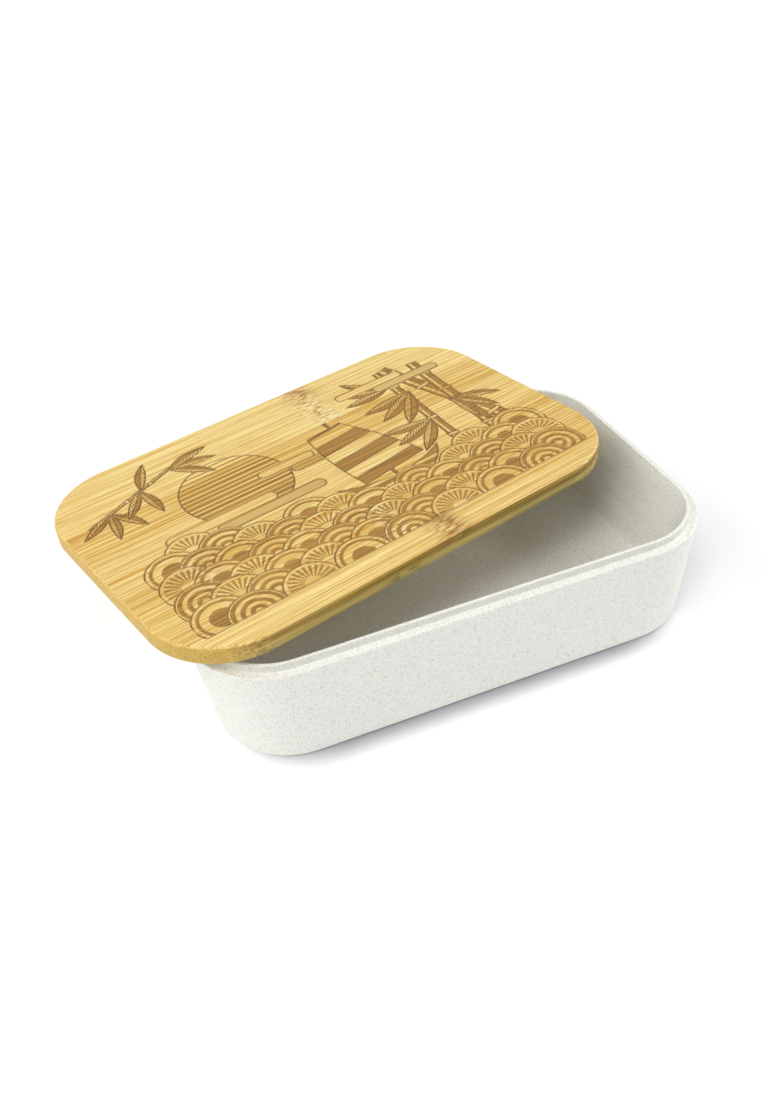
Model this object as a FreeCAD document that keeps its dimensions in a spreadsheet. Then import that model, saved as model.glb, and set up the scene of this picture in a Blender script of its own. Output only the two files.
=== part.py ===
import FreeCAD, Part
import math
import os
import Sketcher

# Lunch box: a moulded tray with a stepped rim, and a loose bamboo lid lying askew on that rim.
# Millimetres, +Z up. The origin is the middle of the tray's underside, with the long side along X.
# The lid is drawn in a frame of its own, whose origin is the middle of its tongue's underside,
# and then set down on the rim.

doc = FreeCAD.newDocument("lunch_box")

# Driving dimensions in millimetres, with the strip counts and one angle in degrees
SIZES = {
    # outline shared by the tray's shoulder and the lid's board
    "box_length": 190,
    "box_width": 124,
    "corner_radius": 30,
    # tray
    "tray_height": 44,
    "base_end_inset": 5,
    "base_side_inset": 3,
    "base_corner_radius": 27.5,
    "base_edge_radius": 2.5,
    "wall_thickness": 2.2,
    "floor_thickness": 2.5,
    "floor_edge_radius": 1,
    "shoulder_width": 3,
    "shoulder_edge_radius": 0.5,
    "lip_height": 2.7,
    "lip_thickness": 1.4,
    "lip_edge_radius": 0.35,
    # lid's plies, from the top down, and the strips that they are glued up from
    "top_ply_thickness": 3.3,
    "lower_ply_thickness": 3.4,
    "tongue_depth": 4.2,
    "tongue_clearance": 1.5,
    "lid_top_edge_radius": 1.2,
    "lid_lower_edge_radius": 0.6,
    "top_strip_count": 7,
    "top_outer_strip_width": 13.25,
    "lower_strip_count": 6,
    "lower_outer_strip_width": 20,
    "tongue_strip_count": 6,
    "tongue_outer_strip_width": 17.1,
    "saw_overrun": 5,
    # seal in the groove round the tongue
    "seal_height": 2.2,
    "seal_groove_depth": 1.2,
    "seal_seat_clearance": 0.1,
    "seal_squeeze": 0.2,
    "seal_bead_radius": 0.9,
    # where the lid lies on the rim
    "lid_shift_x": -23.5,
    "lid_shift_y": 21.8,
    "lid_turn_degrees": 15.5,
}

sheet = doc.addObject("Spreadsheet::Sheet", "sizes")
for row, (alias, number) in enumerate(SIZES.items(), start=1):
    sheet.set(f"A{row}", alias)
    sheet.set(f"B{row}", str(number))
    sheet.setAlias(f"B{row}", alias)
doc.recompute()

# Heights above the tray's underside
SHOULDER_TOP = "(sizes.tray_height - sizes.lip_height)"

# Heights above the tongue's underside
SEAL_BOTTOM = "((sizes.tongue_depth - sizes.seal_height) / 2)"
SEAL_TOP = f"({SEAL_BOTTOM} + sizes.seal_height)"
TOP_PLY_BOTTOM = "(sizes.tongue_depth + sizes.lower_ply_thickness)"
LID_TOP = f"({TOP_PLY_BOTTOM} + sizes.top_ply_thickness)"

# Evenly inset outlines, each given by how far it lies inside the shared outline
LIP_OUTSIDE = "sizes.shoulder_width"
LIP_INSIDE = f"({LIP_OUTSIDE} + sizes.lip_thickness)"
TONGUE_SIDE = f"({LIP_INSIDE} + sizes.tongue_clearance)"
GROOVE_FLOOR = f"({TONGUE_SIDE} + sizes.seal_groove_depth)"
SEAL_OUTSIDE = f"({LIP_INSIDE} - sizes.seal_squeeze)"
SEAL_INSIDE = f"({GROOVE_FLOOR} - sizes.seal_seat_clearance)"


def value(expression):
    """Number that an expression on the sheet gives now."""
    return float(sheet.evalExpression(expression))


def new_sketch(body, name, height):
    """Empty sketch in a body, level, at a height given as an expression."""
    sketch = body.newObject("Sketcher::SketchObject", name)
    level = [plane for plane in body.Origin.OriginFeatures if plane.Role == "XY_Plane"][0]
    sketch.AttachmentSupport = (level, [""])
    sketch.MapMode = "FlatFace"
    sketch.setExpression("AttachmentOffset.Base.z", height)
    return sketch


def add_outline(sketch, end_inset, side_inset, radius):
    """Rounded rectangle about the sketch's origin, inset from the box's ends and its long sides."""
    length = f"sizes.box_length - 2 * {end_inset}"
    width = f"sizes.box_width - 2 * {side_inset}"
    end_x = value(length) / 2
    side_y = value(width) / 2
    bend = value(radius)
    corner_x = end_x - bend
    corner_y = side_y - bend

    def line(start, end):
        return Part.LineSegment(FreeCAD.Vector(*start, 0), FreeCAD.Vector(*end, 0))

    def arc(centre, start_degrees):
        circle = Part.Circle(FreeCAD.Vector(*centre, 0), FreeCAD.Vector(0, 0, 1), bend)
        start = math.radians(start_degrees)
        return Part.ArcOfCircle(circle, start, start + math.pi / 2)

    # anticlockwise from the front side, each item starting where the one before it ends
    items = [sketch.addGeometry(item) for item in (
        line((-corner_x, -side_y), (corner_x, -side_y)),
        arc((corner_x, -corner_y), 270),
        line((end_x, -corner_y), (end_x, corner_y)),
        arc((corner_x, corner_y), 0),
        line((corner_x, side_y), (-corner_x, side_y)),
        arc((-corner_x, corner_y), 90),
        line((-end_x, corner_y), (-end_x, -corner_y)),
        arc((-corner_x, -corner_y), 180),
    )]
    front, front_right, right, back_right, back, back_left, left, front_left = items

    start_point, end_point = 1, 2
    origin = (-1, 1)
    for item, following in zip(items, items[1:] + items[:1]):
        sketch.addConstraint(Sketcher.Constraint("Tangent", item, end_point, following, start_point))
    for side in (front, back):
        sketch.addConstraint(Sketcher.Constraint("Horizontal", side))
    for side in (right, left):
        sketch.addConstraint(Sketcher.Constraint("Vertical", side))
    for corner in (back_right, back_left, front_left):
        sketch.addConstraint(Sketcher.Constraint("Equal", front_right, corner))
    sketch.addConstraint(
        Sketcher.Constraint("Symmetric", front, start_point, back, start_point, *origin))

    def bind(constraint, name, expression):
        index = sketch.addConstraint(constraint)
        sketch.renameConstraint(index, f"{name}_{front}")
        sketch.setExpression(f"Constraints.{name}_{front}", expression)

    bind(Sketcher.Constraint("DistanceX", left, start_point, right, start_point, 2 * end_x),
         "length", length)
    bind(Sketcher.Constraint("DistanceY", front, start_point, back, start_point, 2 * side_y),
         "width", width)
    bind(Sketcher.Constraint("Radius", front_right, bend), "radius", radius)


def outline_sketch(body, name, height, *insets):
    """Sketch of one or more evenly inset outlines; a second one inside the first makes a ring."""
    sketch = new_sketch(body, name, height)
    for inset in insets:
        add_outline(sketch, inset, inset, f"(sizes.corner_radius - {inset})")
    return sketch


def base_sketch(body, name, height, inset):
    """Sketch of the outline at the tray's foot, or of one evenly inset from it."""
    sketch = new_sketch(body, name, height)
    add_outline(sketch, f"(sizes.base_end_inset + {inset})", f"(sizes.base_side_inset + {inset})",
                f"(sizes.base_corner_radius - {inset})")
    return sketch


def add_pad(body, name, sketch, thickness):
    """Pad a sketch upwards by a thickness given as an expression."""
    pad = body.newObject("PartDesign::Pad", name)
    pad.Profile = sketch
    pad.setExpression("Length", thickness)
    doc.recompute()


def add_loft(body, kind, name, lower, upper):
    """Straight-sided loft, additive or subtractive, between two sketches."""
    loft = body.newObject(f"PartDesign::{kind}", name)
    loft.Profile = lower
    loft.Sections = [upper]
    loft.Ruled = True
    doc.recompute()


def inset_of(point):
    """How far a point lies inside the outline that the tray's shoulder and the lid share."""
    radius = value("sizes.corner_radius")
    past_x = abs(point.x) - (value("sizes.box_length / 2") - radius)
    past_y = abs(point.y) - (value("sizes.box_width / 2") - radius)
    if past_x > 0 and past_y > 0:
        return radius - math.hypot(past_x, past_y)
    return radius - max(past_x, past_y)


def level_edges(shape, height, deepest=math.inf):
    """Names of the level edges at a height, down to the deepest inset that is wanted."""
    names = []
    for number, edge in enumerate(shape.Edges, start=1):
        box = edge.BoundBox
        level = abs(box.ZMin - height) < 1e-4 and abs(box.ZMax - height) < 1e-4
        middle = edge.valueAt((edge.FirstParameter + edge.LastParameter) / 2)
        if level and inset_of(middle) < deepest:
            names.append(f"Edge{number}")
    return names


def add_fillet(body, name, radius, height, deepest=math.inf):
    """Round the level edges of the body's last feature at a height."""
    base = body.Tip
    fillet = body.newObject("PartDesign::Fillet", name)
    fillet.Base = (base, level_edges(base.Shape, height, deepest))
    fillet.setExpression("Radius", radius)
    doc.recompute()


def make_tray():
    """Moulded tray: drafted outside, lip on the shoulder, drafted cavity, then the rounded edges."""
    body = doc.addObject("PartDesign::Body", "tray")
    base = base_sketch(body, "base_outline", "0", "0")
    shoulder = outline_sketch(body, "shoulder_outline", SHOULDER_TOP, "0")
    add_loft(body, "AdditiveLoft", "drafted_outside", base, shoulder)
    lip = outline_sketch(body, "lip_outline", SHOULDER_TOP, LIP_OUTSIDE)
    add_pad(body, "lip", lip, "sizes.lip_height")
    floor = base_sketch(body, "floor_outline", "sizes.floor_thickness", "sizes.wall_thickness")
    mouth = outline_sketch(body, "mouth_outline", "sizes.tray_height", LIP_INSIDE)
    add_loft(body, "SubtractiveLoft", "cavity", floor, mouth)
    add_fillet(body, "base_round", "sizes.base_edge_radius", 0)
    add_fillet(body, "floor_round", "sizes.floor_edge_radius", value("sizes.floor_thickness"))
    add_fillet(body, "lip_round", "sizes.lip_edge_radius", value("sizes.tray_height"))
    add_fillet(body, "shoulder_round", "sizes.shoulder_edge_radius", value(SHOULDER_TOP),
               value("sizes.shoulder_width / 2"))
    return body


def make_board_blanks():
    """The lid board's two full plies before they are sawn into strips."""
    top = doc.addObject("PartDesign::Body", "top_ply_blank")
    add_pad(top, "top_ply", outline_sketch(top, "top_ply_outline", TOP_PLY_BOTTOM, "0"),
            "sizes.top_ply_thickness")
    add_fillet(top, "top_edge_round", "sizes.lid_top_edge_radius", value(LID_TOP))

    lower = doc.addObject("PartDesign::Body", "lower_ply_blank")
    add_pad(lower, "lower_ply", outline_sketch(lower, "lower_ply_outline", "sizes.tongue_depth", "0"),
            "sizes.lower_ply_thickness")
    add_fillet(lower, "lower_edge_round", "sizes.lid_lower_edge_radius", value("sizes.tongue_depth"))
    return top, lower


def make_tongue_blank():
    """The tongue ply before sawing: two flanges with the seal's groove between them."""
    body = doc.addObject("PartDesign::Body", "tongue_ply_blank")
    layers = (("lower_flange", "0", TONGUE_SIDE, SEAL_BOTTOM),
              ("groove_core", SEAL_BOTTOM, GROOVE_FLOOR, "sizes.seal_height"),
              ("upper_flange", SEAL_TOP, TONGUE_SIDE, SEAL_BOTTOM))
    for name, height, inset, thickness in layers:
        add_pad(body, name, outline_sketch(body, f"{name}_outline", height, inset), thickness)
    return body


def make_seal():
    """Silicone ring in the tongue's groove, with a rounded bead that stands out past the tongue."""
    body = doc.addObject("PartDesign::Body", "lid_seal")
    ring = outline_sketch(body, "seal_outline", SEAL_BOTTOM, SEAL_OUTSIDE, SEAL_INSIDE)
    add_pad(body, "seal_ring", ring, "sizes.seal_height")
    ring_middle = value(f"({SEAL_OUTSIDE} + {SEAL_INSIDE}) / 2")
    add_fillet(body, "lower_bead_round", "sizes.seal_bead_radius", value(SEAL_BOTTOM), ring_middle)
    add_fillet(body, "upper_bead_round", "sizes.seal_bead_radius", value(SEAL_TOP), ring_middle)
    return body


def saw_strips(blank, name, inset, ply):
    """Saw a ply lengthwise: two trimmed outer strips, and equal ones between their seams."""
    half_width = f"(sizes.box_width / 2 - {inset})"
    last_seam = f"({half_width} - sizes.{ply}_outer_strip_width)"
    inner_width = f"(2 * {last_seam} / (sizes.{ply}_strip_count - 2))"
    count = int(value(f"sizes.{ply}_strip_count"))
    strips = []
    for number in range(1, count + 1):
        near_side = f"({number} - 2) * {inner_width} - {last_seam}"
        width = inner_width
        if number == 1:
            near_side = f"-({half_width} + sizes.saw_overrun)"
        if number in (1, count):
            width = f"sizes.{ply}_outer_strip_width + sizes.saw_overrun"
        slab = doc.addObject("Part::Box", f"{name}_slab_{number}")
        slab.setExpression("Length", "sizes.box_length + 2 * sizes.saw_overrun")
        slab.setExpression("Width", width)
        slab.setExpression("Height", f"{LID_TOP} + 2 * sizes.saw_overrun")
        slab.setExpression("Placement.Base.x", "-(sizes.box_length / 2 + sizes.saw_overrun)")
        slab.setExpression("Placement.Base.y", near_side)
        slab.setExpression("Placement.Base.z", "-sizes.saw_overrun")
        strip = doc.addObject("Part::Common", f"{name}_{number}")
        strip.Base = blank
        strip.Tool = slab
        strips.append(strip)
    return strips


def lay_on_rim(piece):
    """Set a piece of the lid down on the tray's lip, turned and shifted as the lid lies."""
    upright = FreeCAD.Rotation(FreeCAD.Vector(0, 0, 1), value("sizes.lid_turn_degrees"))
    piece.Placement = FreeCAD.Placement(FreeCAD.Vector(), upright)
    piece.setExpression("Placement.Base.x", "sizes.lid_shift_x")
    piece.setExpression("Placement.Base.y", "sizes.lid_shift_y")
    piece.setExpression("Placement.Base.z", "sizes.tray_height")
    piece.setExpression("Placement.Rotation.Angle", "sizes.lid_turn_degrees")


def check(piece):
    """Stop before anything is written if a piece came out without a sound solid."""
    if piece.Shape.isNull() or not piece.Shape.isValid():
        raise RuntimeError(f"{piece.Label} has no valid shape")
    print(f"{piece.Label}: {piece.Shape.Volume / 1000:.2f} cm3, {len(piece.Shape.Solids)} solid")


tray = make_tray()
top_blank, lower_blank = make_board_blanks()
tongue_blank = make_tongue_blank()
lid_pieces = saw_strips(top_blank, "lid_top_strip", "0", "top")
lid_pieces += saw_strips(lower_blank, "lid_lower_strip", "0", "lower")
lid_pieces += saw_strips(tongue_blank, "lid_tongue_strip", TONGUE_SIDE, "tongue")
lid_pieces.append(make_seal())
for lid_piece in lid_pieces:
    lay_on_rim(lid_piece)
doc.recompute()

for item in doc.Objects:
    if "Invalid" in item.State or "Error" in item.State:
        raise RuntimeError(f"{item.Label} failed: {item.State}")
pieces = [tray] + lid_pieces
for piece in pieces:
    check(piece)

os.makedirs("parts", exist_ok=True)
for piece in pieces:
    piece.Shape.exportStep(f"parts/{piece.Label}.step")
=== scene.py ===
# %% [markdown]
# # A lunch box with a bamboo lid
# This lesson dresses a packed construction model. Its frame is the tray and the lid at their real
# size, and every piece below replaces one of its parts without moving it.
# %% Load the frame
import math
from collections import namedtuple

import bpy
import numpy as np
from mathutils import Matrix, Vector


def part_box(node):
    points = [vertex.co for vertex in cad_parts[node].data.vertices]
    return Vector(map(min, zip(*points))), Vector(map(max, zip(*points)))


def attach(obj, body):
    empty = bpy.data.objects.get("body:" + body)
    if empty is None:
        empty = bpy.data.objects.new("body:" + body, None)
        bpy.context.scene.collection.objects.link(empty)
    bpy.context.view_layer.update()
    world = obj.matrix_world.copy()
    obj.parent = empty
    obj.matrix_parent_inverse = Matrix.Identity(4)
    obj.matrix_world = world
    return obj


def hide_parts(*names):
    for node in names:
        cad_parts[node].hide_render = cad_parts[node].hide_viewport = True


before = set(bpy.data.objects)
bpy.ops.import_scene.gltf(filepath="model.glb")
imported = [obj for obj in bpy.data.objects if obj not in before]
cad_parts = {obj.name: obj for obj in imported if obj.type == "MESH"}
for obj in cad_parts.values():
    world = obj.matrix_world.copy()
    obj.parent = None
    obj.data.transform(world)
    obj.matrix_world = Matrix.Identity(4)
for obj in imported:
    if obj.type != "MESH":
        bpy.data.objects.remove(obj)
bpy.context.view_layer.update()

# %% [markdown]
# ## Sizes
# Shapes are in millimetres until a mesh is made. The overall sizes come from the frame, so the looks
# follow the construction, and the smaller ones repeat its own values.
# %% Sizes in millimetres
MM = 0.001


def box_of(names):
    """Lowest and highest corner of several frame parts together, in millimetres."""
    corners = np.array([[list(corner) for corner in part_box(name)] for name in names]) / MM
    return corners[:, 0].min(axis=0), corners[:, 1].max(axis=0)


TOP_STRIPS = [f"lid_top_strip_{number}" for number in range(1, 8)]
LOWER_STRIPS = [f"lid_lower_strip_{number}" for number in range(1, 7)]
TONGUE_STRIPS = [f"lid_tongue_strip_{number}" for number in range(1, 7)]

tray_low, tray_high = box_of(["tray"])
BOX_LENGTH, BOX_WIDTH, TRAY_HEIGHT = np.round(tray_high - tray_low, 2)
HALF_BOX = np.array([BOX_LENGTH, BOX_WIDTH]) / 2
CORNER_RADIUS = 30.0
CORNER_CENTRE = HALF_BOX - CORNER_RADIUS

SHOULDER_WIDTH = 3.0
LIP_HEIGHT = 2.7
LIP_THICKNESS = 1.4
SHOULDER_TOP = TRAY_HEIGHT - LIP_HEIGHT
LIP_INSIDE = SHOULDER_WIDTH + LIP_THICKNESS

lid_low, lid_high = box_of(TOP_STRIPS)
LID_CENTRE = (lid_low[:2] + lid_high[:2]) / 2
LID_TURN = math.radians(15.5)
TOP_PLY = (lid_low[2], lid_high[2])
LOWER_PLY = tuple(corner[2] for corner in box_of(LOWER_STRIPS))
TONGUE_PLY = tuple(corner[2] for corner in box_of(TONGUE_STRIPS))
print("tray", BOX_LENGTH, BOX_WIDTH, TRAY_HEIGHT, "lid centre", LID_CENTRE.round(2))

# %% [markdown]
# ## From arrays to meshes
# A mesh is points and faces. As numpy arrays a whole piece is computed at once, with no loop over its
# points. Attributes ride along, so that a material can later read what the shape knew, such as where
# the wood is engraved.
# %% Mesh helpers
def grid_faces(rows, columns, wrap_columns=False, wrap_rows=False):
    """Quads of points numbered row by row: a point, its right neighbour and the two above."""
    row = np.arange(rows if wrap_rows else rows - 1)[:, None]
    column = np.arange(columns if wrap_columns else columns - 1)[None, :]
    above = (row + 1) % rows
    right = (column + 1) % columns
    corners = (row * columns + column, row * columns + right,
               above * columns + right, above * columns + column)
    return np.stack(np.broadcast_arrays(*corners), axis=-1).reshape(-1, 4)


def add_object(name, data):
    """A new object, linked into the scene."""
    made = bpy.data.objects.new(name, data)
    bpy.context.scene.collection.objects.link(made)
    return made


def new_mesh(name, points, faces):
    """A mesh from points in millimetres and a list of faces."""
    mesh = bpy.data.meshes.new(name)
    mesh.from_pydata((points * MM).tolist(), [], faces)
    return mesh


def put_piece(name, points, faces, body, node, attributes=None, sharp_degrees=40):
    """A smooth mesh with attributes on its points, riding on a body in place of a frame part."""
    mesh = new_mesh(name, points, faces)
    for key, values in (attributes or {}).items():
        values = np.asarray(values, np.float32)
        kind, field = ("FLOAT_VECTOR", "vector") if values.ndim == 2 else ("FLOAT", "value")
        mesh.attributes.new(key, kind, "POINT").data.foreach_set(field, values.ravel())
    mesh.set_sharp_from_angle(angle=math.radians(sharp_degrees))
    piece = add_object(name, mesh)
    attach(piece, body)
    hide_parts(node)
    return piece


def quarter(steps):
    """Cosines and sines of a quarter turn, from 0 to 90 degrees."""
    angle = np.linspace(0, np.pi / 2, steps)
    return np.cos(angle), np.sin(angle)


print("one cell of a 2 by 2 grid:", grid_faces(2, 2).tolist())

# %% [markdown]
# ## A path with rounded corners
# The tray and the seal are both a profile carried round a rectangle with round corners. Each point of
# the path is an anchor plus a radius along a unit normal, so one path serves every inset and radius.
# %% Rounded rectangle path
def rounded_path(corner_steps, long_steps, short_steps):
    """Anchors, from -1 to 1 each way, and unit normals, anticlockwise from the front."""
    anchors, normals = [], []
    corners = [(-1, -1), (1, -1), (1, 1), (-1, 1)]
    for side, (start, end) in enumerate(zip(corners, corners[1:] + corners[:1])):
        share = np.linspace(0, 1, (long_steps, short_steps)[side % 2], endpoint=False)[1:, None]
        facing = side * np.pi / 2 - np.pi / 2
        straight = np.array(start) * (1 - share) + np.array(end) * share
        turn = facing + np.linspace(0, np.pi / 2, corner_steps)
        anchors += [straight, np.repeat([end], corner_steps, axis=0)]
        normals += [np.repeat([[np.cos(facing), np.sin(facing)]], len(straight), axis=0),
                    np.stack([np.cos(turn), np.sin(turn)], axis=1)]
    return np.concatenate(anchors), np.concatenate(normals)


def carried_loops(path, half_size, radius, height):
    """Loops of points: each is anchor * (half size - radius) + radius * normal, at its own height."""
    anchors, normals = path
    radius = radius[:, None, None]
    level = anchors * (half_size[:, None] - radius) + radius * normals
    upright = np.broadcast_to(height[:, None, None], level.shape[:2] + (1,))
    return np.concatenate([level, upright], axis=2)


PATH = rounded_path(corner_steps=21, long_steps=27, short_steps=15)
print("path points:", len(PATH[0]))

# %% [markdown]
# ## The tray's profile
# The real tray is one moulding: a drafted wall, a flat shoulder, a thin lip and a cavity. It could be
# extruded and bevelled by hand, but a profile gives clean quads and exact roundings. Its rows hold the
# insets of ends and sides, a radius and a height. A row close to each rounding keeps flat faces flat.
# %% Tray profile
WALL, FLOOR = 2.2, 2.5
BASE_ROUND, FLOOR_ROUND, SHOULDER_ROUND, LIP_ROUND, FOOT_ROUND = 2.5, 1.0, 0.5, 0.35, 0.3
HOLD = 0.5
ROUND_STEPS, WALL_STEPS = 9, 9

# inset of the ends, inset of the sides and corner radius
FOOT = np.array([5.0, 3.0, 27.5])
RIM = np.array([0.0, 0.0, CORNER_RADIUS])
INWARDS = np.array([1, 1, -1])
# height and outline of each wall's foot and top
OUTSIDE = ((0, FOOT), (SHOULDER_TOP, RIM))
UPRIGHT = ((0, RIM), (TRAY_HEIGHT, RIM))
CAVITY = ((FLOOR, FOOT + WALL * INWARDS), (TRAY_HEIGHT, RIM + LIP_INSIDE * INWARDS))


def on_wall(wall, heights, insets):
    """Rows of a wall whose outline runs straight from its foot to its top, moved inwards by insets."""
    (low, foot), (high, top) = wall
    heights, insets = (np.reshape(values, (-1, 1)) for values in np.broadcast_arrays(heights, insets))
    outline = foot + (heights - low) / (high - low) * (top - foot)
    return np.hstack([outline + insets * INWARDS, heights])


def tray_profile():
    """Rows from the underside up the outside, over the lip and down to the floor, with quarter circles."""
    cos, sin = quarter(ROUND_STEPS)
    wall_heights = np.linspace(BASE_ROUND + HOLD, SHOULDER_TOP - SHOULDER_ROUND - HOLD, WALL_STEPS)
    cavity_heights = np.linspace(TRAY_HEIGHT - LIP_ROUND - HOLD, FLOOR + FLOOR_ROUND + HOLD, WALL_STEPS)
    ledge_insets = [SHOULDER_ROUND + HOLD / 2, SHOULDER_WIDTH - FOOT_ROUND - HOLD / 2]
    return np.vstack([
        on_wall(OUTSIDE, 0, BASE_ROUND + HOLD),
        on_wall(OUTSIDE, BASE_ROUND * (1 - cos), BASE_ROUND * (1 - sin)),
        on_wall(OUTSIDE, wall_heights, 0),
        on_wall(UPRIGHT, SHOULDER_TOP - SHOULDER_ROUND * (1 - sin), SHOULDER_ROUND * (1 - cos)),
        on_wall(UPRIGHT, SHOULDER_TOP, ledge_insets),
        on_wall(UPRIGHT, SHOULDER_TOP + FOOT_ROUND * (1 - cos), SHOULDER_WIDTH - FOOT_ROUND * (1 - sin)),
        on_wall(UPRIGHT, TRAY_HEIGHT - LIP_ROUND * (1 - sin), SHOULDER_WIDTH + LIP_ROUND * (1 - cos)),
        on_wall(UPRIGHT, TRAY_HEIGHT - LIP_ROUND * (1 - cos), LIP_INSIDE - LIP_ROUND * (1 - sin)),
        on_wall(CAVITY, cavity_heights, 0),
        on_wall(CAVITY, FLOOR + FLOOR_ROUND * (1 - sin), FLOOR_ROUND * (1 - cos)),
        on_wall(CAVITY, FLOOR, FLOOR_ROUND + HOLD),
    ])


print("profile rows:", len(tray_profile()))

# %% [markdown]
# ## The tray's mesh
# Carrying the profile round the path gives every wall at once. The first and the last loop, shrunk a
# few times, close the underside and the floor with short faces. Each point also notes whether it is on
# the lip's outer face, where shade is painted into the colour as a greyer band.
# %% Tray mesh
# shares of X and Y for the loops of a flat cap, which keep their height
CAP_SCALES = np.array([[share, share, 1] for share in (0.02, 0.3, 0.6, 0.85)])[:, None]


def make_tray():
    """The profile's loops carried round the path, between the shrinking loops of two flat caps."""
    section = tray_profile()
    loops = carried_loops(PATH, HALF_BOX - section[:, :2], section[:, 2], section[:, 3])
    loops = np.concatenate([loops[0] * CAP_SCALES, loops, loops[-1] * CAP_SCALES[::-1]])
    rows, columns = loops.shape[:2]
    # above the shoulder, the lip's face is where the inset is the shoulder's width: painted shade goes there
    lip_face_shade = np.clip(1 - np.abs(section[:, 1] - SHOULDER_WIDTH) / FOOT_ROUND, 0, 1)
    lip_face_shade = np.pad(lip_face_shade * (section[:, 3] >= SHOULDER_TOP), len(CAP_SCALES))
    looks = {"lip_face_shade": np.repeat(lip_face_shade, columns)}
    first = np.arange(columns)
    last = (rows - 1) * columns + first
    faces = grid_faces(rows, columns, wrap_columns=True).tolist()
    faces += [first[::-1].tolist(), last.tolist()]
    return put_piece("tray_moulding", loops.reshape(-1, 3), faces, "tray", "tray", looks)


tray = make_tray()
print("tray faces:", len(tray.data.polygons))

# %% [markdown]
# ## The seal
# A silicone ring sits in a groove round the lid's tongue and bulges out to press on the lip. A bevelled
# curve would be a plain cord, so this is a closed profile on the tray's path, with two soft ribs outside.
# Like the rest of the lid it is shaped with X along the grain, and its points are then turned to where
# the lid lies.
# %% Seal shape
TONGUE_CLEARANCE, GROOVE_DEPTH = 1.5, 1.2
SEAL_SQUEEZE, SEAT_CLEARANCE = 0.2, 0.1
TONGUE_SIDE = LIP_INSIDE + TONGUE_CLEARANCE
GROOVE_FLOOR = TONGUE_SIDE + GROOVE_DEPTH
SEAL_OUTSIDE, SEAL_INSIDE = LIP_INSIDE - SEAL_SQUEEZE, GROOVE_FLOOR - SEAT_CLEARANCE
SEAL_BOTTOM, SEAL_TOP = (corner[2] for corner in box_of(["lid_seal"]))
RIB_COUNT, RIB_HEIGHT, DIP_SHARPNESS = 2, 0.25, 8
BULGE_STEPS = 25


def on_lid(points):
    """Points of the lid's own frame, turned about Z and moved to where the lid lies."""
    cos, sin = math.cos(LID_TURN), math.sin(LID_TURN)
    x, y, z = points.T
    return np.stack([cos * x - sin * y + LID_CENTRE[0], sin * x + cos * y + LID_CENTRE[1], z], axis=1)


def make_seal():
    """Ring whose outer side is a half circle, less a dip between its ribs: a power of a sine."""
    turn = np.linspace(-np.pi / 2, np.pi / 2, BULGE_STEPS)
    middle, half = (SEAL_BOTTOM + SEAL_TOP) / 2, (SEAL_TOP - SEAL_BOTTOM) / 2
    bulge = SEAL_INSIDE - SEAL_OUTSIDE - half
    dip = RIB_HEIGHT * np.sin(turn * RIB_COUNT / 2 + np.pi / 2) ** DIP_SHARPNESS * np.cos(turn)
    reach = np.concatenate([[0, bulge / 2], bulge + half * np.cos(turn) - dip, [bulge / 2, 0]])
    inset = SEAL_INSIDE - reach
    height = np.concatenate([[SEAL_BOTTOM] * 2, middle + half * np.sin(turn), [SEAL_TOP] * 2])
    loops = carried_loops(PATH, HALF_BOX - inset[:, None], CORNER_RADIUS - inset, height)
    faces = grid_faces(*loops.shape[:2], wrap_columns=True, wrap_rows=True).tolist()
    return put_piece("seal_ring", on_lid(loops.reshape(-1, 3)), faces, "lid", "lid_seal")


seal = make_seal()
print("seal faces:", len(seal.data.polygons))

# %% [markdown]
# ## The outline of a strip
# A laminated lid is glued up from strips, side by side, in plies, and its outline is cut afterwards.
# A Boolean could cut it here too, but leaves ragged faces, so the grid of each strip is laid out
# between its sides and the board's outline. Neighbours then always meet face to face.
# %% Strip outline
def board_end(across, inset):
    """Half the board's length at a place across it: straight in the middle, a circle at the corners."""
    radius = CORNER_RADIUS - inset
    past = np.clip(np.abs(across) - CORNER_CENTRE[1], 0, radius)
    return CORNER_CENTRE[0] + np.sqrt(radius ** 2 - past ** 2)


def strip_plan(along, across, sides, inset, board_inset):
    """X and Y: across between the sides, where the board's own move in; along times its half length."""
    near, far = sides
    outer = HALF_BOX[1] - board_inset
    near = near + (inset - board_inset if near <= -outer else 0)
    far = far - (inset - board_inset if far >= outer else 0)
    y = near + across * (far - near)
    return along * board_end(y, inset), y


def across_steps(sides, board_inset, count):
    """Parameters across a strip: even in the middle of the board, even in angle round its corners."""
    share = np.linspace(0, 1, count)
    if max(np.abs(sides)) < HALF_BOX[1] - board_inset:
        return share
    radius = CORNER_RADIUS - board_inset
    seam = min(np.abs(sides))
    start = math.asin(np.clip((seam - CORNER_CENTRE[1]) / radius, -1, 1))
    y = CORNER_CENTRE[1] + radius * np.sin(start + share * (np.pi / 2 - start))
    share = (y - seam) / (y[-1] - seam)
    return share if sides[1] > 0 else 1 - share[::-1]


print("half the board's length at its side:", board_end(HALF_BOX[1], 0.0))

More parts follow.
